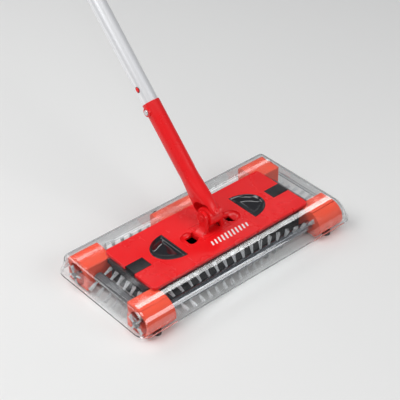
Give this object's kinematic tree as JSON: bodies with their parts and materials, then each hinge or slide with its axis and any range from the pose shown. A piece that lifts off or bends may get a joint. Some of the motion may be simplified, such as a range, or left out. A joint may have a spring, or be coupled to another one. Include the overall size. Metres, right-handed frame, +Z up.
{
  "type": "carpet sweeper",
  "caption": "Cordless carpet sweeper: flat head with turning brushes along every side under a clear cover, and a tube handle on a two-axis joint.",
  "frame": {"origin": "on the floor under the centre of the deck, on the face of the middle glide pad", "axes": "+X to the right along the head, +Y to the rear, towards which the handle leans, +Z up"},
  "size_m": [0.318, 0.7879, 0.7722],
  "materials": {
    "clear_polycarbonate": "clear, slightly smoky",
    "deck_red": "gloss moulded",
    "housing_red": "gloss moulded",
    "smoked_lens": "polished",
    "black_plastic": "fine moulded texture",
    "black_gloss": "gloss moulded",
    "glide_pad": "smooth",
    "steel": "ground",
    "bright_core": "metallised gloss",
    "grey_core": "moulded",
    "bristle": "translucent nylon",
    "white_nylon": "self-lubricating",
    "cell_sleeve": "cell can in a thin printed-free sleeve",
    "nickel": "bright strip",
    "tube_metal": "bright drawn",
    "silver_plastic": "metallic paint"
  },
  "bodies": {
    "base": {"clear_cover": "clear_polycarbonate", "deck_cover": "deck_red", "left_window": "smoked_lens", "right_window": "smoked_lens", "chassis": "black_plastic", "front_left_housing": "housing_red", "front_right_housing": "housing_red", "rear_left_housing": "housing_red", "rear_right_housing": "housing_red", "rear_gear_housing": "housing_red", "glide_feet": "glide_pad", "housing_screws": "steel", "brush_bushes": "white_nylon", "battery_cells": "cell_sleeve", "cell_straps": "nickel", "charge_socket": "black_plastic", "switch_case": "black_plastic", "motor_can": "steel", "reduction_axle": "steel", "hinge_pins": "steel", "handle_bracket": "deck_red", "tilt_pin": "steel", "left_latch_spring": "steel", "right_latch_spring": "steel"},
    "front_brush": {"front_shaft": "steel", "front_core": "bright_core", "front_tufts": "bristle", "front_mitre_gears": "white_nylon"},
    "rear_brush": {"rear_shaft": "steel", "rear_left_core": "bright_core", "rear_right_core": "bright_core", "rear_tufts": "bristle", "rear_mitre_gears": "white_nylon", "drive_gear": "white_nylon"},
    "left_brush": {"left_shaft": "steel", "left_core": "grey_core", "left_tufts": "bristle", "left_mitre_gears": "white_nylon"},
    "right_brush": {"right_shaft": "steel", "right_core": "grey_core", "right_tufts": "bristle", "right_mitre_gears": "white_nylon"},
    "reduction": {"reduction_gear": "white_nylon"},
    "motor_rotor": {"motor_shaft": "steel", "motor_pinion": "white_nylon"},
    "left_door": {"left_dust_door": "black_plastic"},
    "right_door": {"right_dust_door": "black_plastic"},
    "left_key": {"left_latch": "black_gloss"},
    "right_key": {"right_latch": "black_gloss"},
    "rocker": {"power_switch": "black_gloss"},
    "hub": {"swivel_hub": "black_gloss"},
    "handle": {"handle_socket": "deck_red", "lower_tube": "tube_metal", "middle_tube": "tube_metal", "upper_tube": "tube_metal", "tube_collars": "deck_red", "snap_spring": "steel", "grip": "black_plastic", "swivel_pins": "steel"},
    "button": {"snap_button": "silver_plastic"}
  },
  "joints": [
    {"name": "handle_tilt", "type": "hinge", "parent": "base", "child": "hub", "pos_m": [0, -0.002, 0.0587], "axis": [1, 0, 0], "range_deg": [-28, 45]},
    {"name": "handle_swivel", "type": "hinge", "parent": "hub", "child": "handle", "pos_m": [0, -0.002, 0.0587], "axis": [0, -0.7071, 0.7071], "range_deg": [-40, 40]},
    {"name": "front_brush_spin", "type": "hinge", "parent": "base", "child": "front_brush", "pos_m": [0, -0.0532, 0.018], "axis": [1, 0, 0], "continuous": true},
    {"name": "rear_brush_spin", "type": "hinge", "parent": "base", "child": "rear_brush", "pos_m": [0, 0.0532, 0.018], "axis": [1, 0, 0], "continuous": true},
    {"name": "left_brush_spin", "type": "hinge", "parent": "base", "child": "left_brush", "pos_m": [-0.132, 0, 0.018], "axis": [0, 1, 0], "continuous": true},
    {"name": "right_brush_spin", "type": "hinge", "parent": "base", "child": "right_brush", "pos_m": [0.132, 0, 0.018], "axis": [0, 1, 0], "continuous": true},
    {"name": "reduction_spin", "type": "hinge", "parent": "base", "child": "reduction", "pos_m": [0, 0.0362, 0.0226], "axis": [1, 0, 0], "continuous": true},
    {"name": "motor_spin", "type": "hinge", "parent": "base", "child": "motor_rotor", "pos_m": [0, 0.0232, 0.018], "axis": [1, 0, 0], "continuous": true},
    {"name": "left_door_swing", "type": "hinge", "parent": "base", "child": "left_door", "pos_m": [-0.056, 0, 0.0032], "axis": [0, -1, 0], "range_deg": [0, 80]},
    {"name": "right_door_swing", "type": "hinge", "parent": "base", "child": "right_door", "pos_m": [0.056, 0, 0.0032], "axis": [0, 1, 0], "range_deg": [0, 80]},
    {"name": "left_latch_press", "type": "slide", "parent": "base", "child": "left_key", "axis": [0, 0, -1], "range_m": [0, 0.0022], "stiffness_N_per_m": 400, "deforming": ["left_latch_spring"]},
    {"name": "right_latch_press", "type": "slide", "parent": "base", "child": "right_key", "axis": [0, 0, -1], "range_m": [0, 0.0022], "stiffness_N_per_m": 400, "deforming": ["right_latch_spring"]},
    {"name": "power_switch_rock", "type": "hinge", "parent": "base", "child": "rocker", "pos_m": [0.025, 0.0284, 0.0405], "axis": [-1, 0, 0], "range_deg": [0, 16]},
    {"name": "snap_button_press", "type": "slide", "parent": "handle", "child": "button", "axis": [1, 0, 0], "range_m": [0, 0.0024], "stiffness_N_per_m": 400}
  ],
  "couplings": [
    {"joint": "rear_brush_spin", "follows": "front_brush_spin", "ratio": -1},
    {"joint": "right_brush_spin", "follows": "front_brush_spin", "ratio": 1},
    {"joint": "left_brush_spin", "follows": "front_brush_spin", "ratio": -1},
    {"joint": "reduction_spin", "follows": "front_brush_spin", "ratio": 2.6667},
    {"joint": "motor_spin", "follows": "front_brush_spin", "ratio": -9.6}
  ]
}
